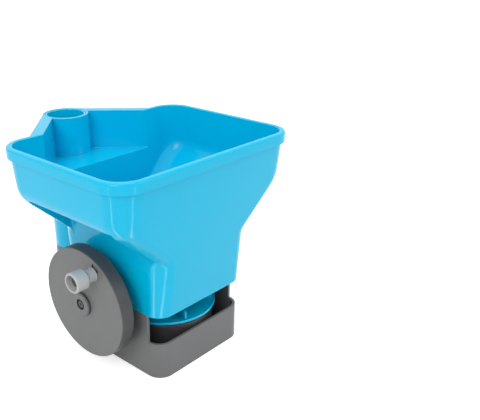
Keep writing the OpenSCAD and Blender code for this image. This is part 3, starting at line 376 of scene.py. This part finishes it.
# Rails under the floor for the gate, then the holes and the notch for the gate's strap
for side in (-1, 1):
    leg = sorted([side * 22.3, side * 24.7])
    lip_x = sorted([side * 19.7, side * 24.7])
    combine(hopper, cuboid("rail_leg", (leg[0], -41.3, 59.5), (leg[1], 16.7, 64.5)), "UNION")
    combine(hopper, cuboid("rail_lip", (lip_x[0], -41.3, 59.5), (lip_x[1], 16.7, 60.9)), "UNION")
combine(hopper, round_bar("socket", 0.0, HANDLE_Y, 19.35, 150.0, 200.0), "DIFFERENCE")
combine(hopper, cuboid("outlet", (-15.0, -39.0, 62.0), (15.0, -29.0, 68.0)), "DIFFERENCE")
combine(hopper, round_bar("shaft_hole", 0.0, SPINNER_Y, 3.3, 62.0, 68.0, 48), "DIFFERENCE")
combine(hopper, cuboid("strap_notch", (-5.8, 40.0, 59.8), (5.8, 76.0, 63.8)), "DIFFERENCE")
hopper.data.polygons.foreach_set("use_smooth", np.ones(len(hopper.data.polygons), bool))
hopper.data.set_sharp_from_angle(angle=math.radians(28))
even = hopper.modifiers.new("even_shading", "WEIGHTED_NORMAL")
even.keep_sharp = True
even.weight = 50


def wire(tree, kind, x, y, **inputs):
    """A shader node at a place in the editor, with its sockets set or linked: Some_Name stands
    for the socket Some Name, and _0 for the first one."""
    made = tree.nodes.new(kind)
    made.location = (x, y)
    for key, value in inputs.items():
        numbered = key[0] == "_" and key[1:].isdigit()
        socket = made.inputs[int(key[1:]) if numbered else key.replace("_", " ")]
        if isinstance(value, bpy.types.NodeSocket):
            tree.links.new(value, socket)
        else:
            socket.default_value = value
    return made


def linear(red, green, blue):
    """Display colour, 0 to 255, as the linear values that shaders take."""
    share = np.array([red, green, blue]) / 255
    return (*np.where(share <= 0.04045, share / 12.92, ((share + 0.055) / 1.055) ** 2.4), 1.0)


def moulding(name, colour, edge_colour, rough, grain, round_edge=0.0006, sheen=0.5, side_shade=1.0):
    """Moulded plastic: cloudy colour, uneven gloss, a fine grain and a painted highlight on the
    edges.
    Edges are found where the normal of a rounded copy of the surface leaves the true one.
    Faces that turn away from the x axis are darkened by the side factor, as painted shade."""
    made = bpy.data.materials.new(name)
    made.use_nodes = True
    tree = made.node_tree
    shader = tree.nodes["Principled BSDF"]
    shader.inputs["Specular IOR Level"].default_value = sheen
    place = tree.nodes.new("ShaderNodeTexCoord").outputs["Object"]
    cloud = wire(
        tree, "ShaderNodeTexNoise", -900, 300, Vector=place, Scale=28.0, Detail=4.0, Roughness=0.6,
    )
    speck = wire(tree, "ShaderNodeTexNoise", -900, 0, Vector=place, Scale=900.0, Detail=2.0)
    flow = wire(
        tree, "ShaderNodeTexNoise", -900, -300,
        Vector=place, Scale=110.0, Detail=3.0, Distortion=0.6,
    )
    shade = wire(tree, "ShaderNodeMix", -600, 300)
    shade.data_type = "RGBA"
    tree.links.new(cloud.outputs["Fac"], shade.inputs[0])
    shade.inputs[6].default_value = [c * 0.98 for c in colour[:3]] + [1]
    shade.inputs[7].default_value = [min(1.0, c * 1.02) for c in colour[:3]] + [1]
    rounded = wire(tree, "ShaderNodeBevel", -900, -600, Radius=round_edge)
    rounded.samples = 6
    true_normal = tree.nodes.new("ShaderNodeNewGeometry").outputs["Normal"]
    turned = tree.nodes.new("ShaderNodeVectorMath")
    turned.operation = "DOT_PRODUCT"
    tree.links.new(rounded.outputs["Normal"], turned.inputs[0])
    tree.links.new(true_normal, turned.inputs[1])
    # Painted highlight: the edges are mixed towards the paler edge colour.
    edge_highlight = wire(tree, "ShaderNodeMapRange", -600, -600, Value=turned.outputs["Value"])
    edge_highlight.inputs["From Min"].default_value = 0.985
    edge_highlight.inputs["From Max"].default_value = 0.82
    edge_highlight.inputs["To Max"].default_value = 0.5
    edge_highlight_mix = tree.nodes.new("ShaderNodeMix")
    edge_highlight_mix.data_type = "RGBA"
    tree.links.new(edge_highlight.outputs["Result"], edge_highlight_mix.inputs[0])
    tree.links.new(shade.outputs[2], edge_highlight_mix.inputs[6])
    edge_highlight_mix.inputs[7].default_value = edge_colour
    if side_shade == 1.0:
        tree.links.new(edge_highlight_mix.outputs[2], shader.inputs["Base Color"])
    else:
        # Painted shade: faces that turn away from the x axis are darkened.
        split = wire(tree, "ShaderNodeSeparateXYZ", -900, -900, Vector=true_normal)
        facing = wire(tree, "ShaderNodeMath", -750, -900, _0=split.outputs["X"])
        facing.operation = "ABSOLUTE"
        level = wire(tree, "ShaderNodeMapRange", -600, -900, Value=facing.outputs["Value"])
        level.inputs["From Min"].default_value = 0.3
        level.inputs["From Max"].default_value = 0.9
        level.inputs["To Min"].default_value = side_shade
        side_shaded = wire(tree, "ShaderNodeVectorMath", -300, 0)
        side_shaded.operation = "SCALE"
        tree.links.new(edge_highlight_mix.outputs[2], side_shaded.inputs[0])
        tree.links.new(level.outputs["Result"], side_shaded.inputs["Scale"])
        tree.links.new(side_shaded.outputs[0], shader.inputs["Base Color"])
    gloss = wire(tree, "ShaderNodeMapRange", -600, 0, Value=flow.outputs["Fac"])
    gloss.inputs["From Min"].default_value = 0.3
    gloss.inputs["From Max"].default_value = 0.7
    gloss.inputs["To Min"].default_value = rough - 0.04
    gloss.inputs["To Max"].default_value = rough + 0.05
    tree.links.new(gloss.outputs["Result"], shader.inputs["Roughness"])
    relief = wire(
        tree, "ShaderNodeBump", -300, -300,
        Height=speck.outputs["Fac"], Normal=rounded.outputs["Normal"],
    )
    relief.inputs["Strength"].default_value = grain
    relief.inputs["Distance"].default_value = 0.00005
    waves = wire(
        tree, "ShaderNodeBump", -150, -300,
        Height=cloud.outputs["Fac"], Normal=relief.outputs["Normal"],
    )
    waves.inputs["Strength"].default_value = 0.1
    waves.inputs["Distance"].default_value = 0.0001
    tree.links.new(waves.outputs["Normal"], shader.inputs["Normal"])
    return made


blue_plastic = moulding(
    "blue_moulding", linear(0, 186, 226), linear(80, 204, 242), 0.13, 0.03, sheen=0.25,
)
hopper.data.materials.clear()
hopper.data.materials.append(blue_plastic)
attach(hopper, "frame")
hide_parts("hopper")


# ---- Grip tube ----
# A round tube in the same blue, stepped down at both ends: the upper end sits in the pod and
# the lower one in the cup of the base, where a screw from behind holds it.
def finish_nodes(material, *names):
    """Gives the material to CAD nodes whose own shape is right."""
    for name in names:
        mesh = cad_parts[name].data
        mesh.materials.clear()
        mesh.materials.append(material)


finish_nodes(blue_plastic, "handle_tube")

# ---- Base housing, bottom cover and trigger parts ----
# Mid-grey polypropylene mouldings. The mould is spark-eroded, and its fine texture leaves them
# satin. The stirrer on top of the spinner shaft is made of the same.
grey_plastic = moulding(
    "grey_moulding", linear(112, 112, 112), linear(146, 146, 146), 0.45, 0.35, sheen=0.3,
)
finish_nodes(
    grey_plastic, "base_housing", "bottom_cover", "trigger", "trigger_bracket", "agitator",
)

# ---- Crank wheel ----
# The same grey, moulded as a dished wheel with a ring gear inside. The band round it is painted
# darker than the face, as painted shade, and its edges carry a brighter painted highlight.
wheel_plastic = moulding(
    "wheel_moulding", linear(114, 114, 114), linear(172, 172, 172), 0.45, 0.35,
    sheen=0.25, side_shade=0.42,
)
finish_nodes(wheel_plastic, "crank_wheel")

# ---- Gear drum and shutter gate ----
# Glass-filled plastic, nearly black and satin, because both parts carry wear: the drum's lid
# holds the bush that the spinner turns on, and the gate slides between its rails.
dark_plastic = moulding(
    "dark_moulding", linear(62, 60, 62), linear(110, 108, 110), 0.38, 0.3,
)
finish_nodes(dark_plastic, "gear_drum", "shutter_gate")

# ---- Knob and gears ----
# Acetal in a pale grey. It runs on steel without grease, so the knob turns freely on its pin
# and the gears mesh dry.
pale_plastic = moulding(
    "pale_moulding", linear(182, 182, 182), linear(206, 206, 206), 0.42, 0.2, sheen=0.3,
)
finish_nodes(pale_plastic, "crank_knob", "drive_pinion", "drive_bevel", "spinner_bevel")

# ---- Spinner disc ----
# A disc with upright fins, moulded in the hopper's blue. It is pressed onto the spinner shaft
# and throws what falls through the outlet.
finish_nodes(blue_plastic, "spinner_disc")


# ---- Steel pins, shafts and screws ----
# Turned steel with a thin zinc plating. The wheel's axle, its washer and screw and the knob's
# pin are painted dark instead, as painted shade, so that the hole at the hub reads dark.
def turned_metal(name, colour, rough, streak):
    """Turned metal: fine rings of uneven gloss and a slightly clouded plating."""
    made = bpy.data.materials.new(name)
    made.use_nodes = True
    tree = made.node_tree
    shader = tree.nodes["Principled BSDF"]
    shader.inputs["Metallic"].default_value = 1.0
    place = tree.nodes.new("ShaderNodeTexCoord").outputs["Object"]
    cloud = wire(tree, "ShaderNodeTexNoise", -800, 200, Vector=place, Scale=220.0, Detail=3.0)
    rings = wire(tree, "ShaderNodeTexNoise", -800, -100, Vector=place, Scale=streak, Detail=2.0)
    shade = tree.nodes.new("ShaderNodeMix")
    shade.data_type = "RGBA"
    tree.links.new(cloud.outputs["Fac"], shade.inputs[0])
    shade.inputs[6].default_value = [c * 0.85 for c in colour[:3]] + [1]
    shade.inputs[7].default_value = [min(1.0, c * 1.1) for c in colour[:3]] + [1]
    tree.links.new(shade.outputs[2], shader.inputs["Base Color"])
    gloss = wire(tree, "ShaderNodeMapRange", -500, 0, Value=rings.outputs["Fac"])
    gloss.inputs["To Min"].default_value = rough - 0.08
    gloss.inputs["To Max"].default_value = rough + 0.1
    tree.links.new(gloss.outputs["Result"], shader.inputs["Roughness"])
    relief = wire(tree, "ShaderNodeBump", -300, -300, Height=rings.outputs["Fac"])
    relief.inputs["Strength"].default_value = 0.2
    relief.inputs["Distance"].default_value = 0.00003
    tree.links.new(relief.outputs["Normal"], shader.inputs["Normal"])
    return made


plated_steel = turned_metal("plated_steel", linear(200, 202, 206), 0.3, 1500.0)
finish_nodes(
    plated_steel, "drive_shaft", "spinner_shaft", "thrust_washer", "trigger_pin",
    "bracket_screws", "cover_screws", "drum_screws", "hopper_screws", "handle_screw",
)
painted_shade_steel = turned_metal("steel_with_painted_shade", linear(88, 90, 94), 0.45, 1500.0)
finish_nodes(painted_shade_steel, "wheel_axle", "axle_washer", "axle_screw", "knob_pin")

# ---- Sintered bushes ----
# Three pressed and sintered bronze bushes carry the two gear shafts. Oil in their pores keeps
# them dull and a little darker than solid bronze.
bronze = turned_metal("sintered_bronze", linear(186, 150, 98), 0.45, 2600.0)
finish_nodes(bronze, "outer_bush", "inner_bush", "spinner_bush")

# ---- Trigger spring ----
# A compression spring of hard-drawn wire between the shelf of the trigger's bracket and the
# trigger. It has six turns and is swept as a tube along a helix. A full pull takes about a
# fifth of its length.
def coil(name, centre, radius, wire_radius, low, high, turns, steps=26, sides=10):
    """Tube along a helix. With t from 0 to 1 along it, the height goes as t minus
    0.75 sin(2 pi t) / (2 pi), so that both ends lie flatter than the middle."""
    t = np.linspace(0, 1, turns * steps + 1)
    rise = t - 0.75 * np.sin(2 * math.pi * t) / (2 * math.pi)
    angle = 2 * math.pi * turns * t
    outward = np.stack([np.cos(angle), np.sin(angle), np.zeros_like(t)], axis=1)
    path = outward * radius + np.array([centre[0], centre[1], 0.0])
    path[:, 2] = low + wire_radius + (high - low - 2 * wire_radius) * rise
    along = np.gradient(path, axis=0)
    along /= np.linalg.norm(along, axis=1)[:, None]
    upward = np.cross(outward, along)
    upward /= np.linalg.norm(upward, axis=1)[:, None]
    turn_round = np.arange(sides) * 2 * math.pi / sides
    rings = path[:, None] + wire_radius * (
        np.cos(turn_round)[None, :, None] * outward[:, None]
        + np.sin(turn_round)[None, :, None] * upward[:, None]
    )
    start = np.arange(len(t) - 1)[:, None] * sides
    here = np.arange(sides)[None, :]
    after = (here + 1) % sides
    faces = np.stack(
        [start + here, start + sides + here, start + sides + after, start + after], axis=2,
    ).reshape(-1, 4).tolist()
    faces.append(list(range(sides)))
    faces.append([(len(t) - 1) * sides + i for i in range(sides - 1, -1, -1)])
    return solid(name, rings.reshape(-1, 3), faces)


spring_low, spring_high = (np.array(corner) * 1000 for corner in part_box("trigger_spring"))
spring_middle = (spring_low + spring_high) / 2
wire_radius = 0.34
coil_radius = (spring_high[0] - spring_low[0]) / 2 - wire_radius - 0.05
spring = coil(
    "coil_spring", spring_middle, coil_radius, wire_radius,
    spring_low[2] + 0.02, spring_high[2] - 0.02, 6,
)
spring.data.polygons.foreach_set("use_smooth", np.ones(len(spring.data.polygons), bool))
spring_steel = turned_metal("spring_steel", linear(168, 170, 174), 0.3, 900.0)
spring.data.materials.append(spring_steel)
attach(spring, "frame")
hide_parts("trigger_spring")
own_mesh(spring)

# ---- Studio ----
# A wide white floor under soft lamps. It is plain matt white and also glows a little towards
# the camera, so that it reads as white and keeps the soft shadow.
far = 4000
floor_corners = [[-far, -far, -0.3], [far, -far, -0.3], [far, far, -0.3], [-far, far, -0.3]]
floor = solid("studio_floor", floor_corners, [[0, 1, 2, 3]])


def seen_plainly(tree):
    """1 for a ray from the camera, a reflection or a look through, and 0 for light: the largest
    of the three values of the Light Path node."""
    path = tree.nodes.new("ShaderNodeLightPath")
    seen = path.outputs["Is Camera Ray"]
    for other in ("Is Glossy Ray", "Is Transmission Ray"):
        larger = tree.nodes.new("ShaderNodeMath")
        larger.operation = "MAXIMUM"
        tree.links.new(seen, larger.inputs[0])
        tree.links.new(path.outputs[other], larger.inputs[1])
        seen = larger.outputs[0]
    return seen


paper = bpy.data.materials.new("white_paper")
paper.use_nodes = True
tree = paper.node_tree
matt = tree.nodes["Principled BSDF"]
matt.inputs["Base Color"].default_value = (0.8, 0.8, 0.8, 1)
matt.inputs["Roughness"].default_value = 1.0
matt.inputs["Specular IOR Level"].default_value = 0.0
glow = tree.nodes.new("ShaderNodeEmission")
lift = tree.nodes.new("ShaderNodeMath")
lift.operation = "MULTIPLY"
lift.inputs[1].default_value = 0.6
tree.links.new(seen_plainly(tree), lift.inputs[0])
tree.links.new(lift.outputs[0], glow.inputs["Strength"])
added = tree.nodes.new("ShaderNodeAddShader")
tree.links.new(matt.outputs[0], added.inputs[0])
tree.links.new(glow.outputs[0], added.inputs[1])
tree.links.new(added.outputs[0], tree.nodes["Material Output"].inputs["Surface"])
floor.data.materials.append(paper)

world = bpy.data.worlds.new("studio_air")
bpy.context.scene.world = world
world.use_nodes = True
tree = world.node_tree
air = tree.nodes["Background"]
level = tree.nodes.new("ShaderNodeMapRange")
level.inputs["To Min"].default_value = 0.74
level.inputs["To Max"].default_value = 1.0
tree.links.new(seen_plainly(tree), level.inputs["Value"])
tree.links.new(level.outputs["Result"], air.inputs["Strength"])
air.inputs["Color"].default_value = (1, 1, 1, 1)


def soft_box(name, place, target, size, power):
    """A rectangular lamp at a place in metres that faces a target."""
    lamp = bpy.data.lights.new(name, "AREA")
    lamp.shape = "RECTANGLE"
    lamp.size, lamp.size_y = size
    lamp.energy = power
    made = bpy.data.objects.new(name, lamp)
    bpy.context.scene.collection.objects.link(made)
    back = np.array(place, float) - np.array(target, float)
    back /= np.linalg.norm(back)
    side = np.cross((0.0, 0.0, 1.0) if abs(back[2]) < 0.95 else (0.0, 1.0, 0.0), back)
    side /= np.linalg.norm(side)
    turned = np.eye(4)
    turned[:3, :3] = np.stack([side, np.cross(back, side), back], axis=1)
    turned[:3, 3] = place
    made.matrix_world = turned.T.tolist()
    return made


soft_box("key_lamp", (-1.4, -0.5, 1.2), (0, 0, 0.1), (0.9, 0.9), 11)
soft_box("fill_lamp", (0.8, -1.6, 0.9), (0, 0, 0.1), (0.9, 0.9), 5.5)
soft_box("top_lamp", (0.1, 0.2, 1.7), (0, 0, 0.1), (1.0, 1.0), 7)
# Two narrow strips lie on the floor and show only in reflections, where they draw crisp
# upright lines on the rounded corners.
for name, place, size in (
    ("side_strip", (-0.43, -0.052, 0.002), (0.6, 0.02)),
    ("front_strip", (-0.097, -0.41, 0.002), (0.02, 0.6)),
):
    strip = soft_box(name, place, (*place[:2], 1.0), size, 0.2)
    strip.visible_camera = False
    strip.visible_diffuse = False

bpy.context.scene.view_settings.view_transform = "Standard"
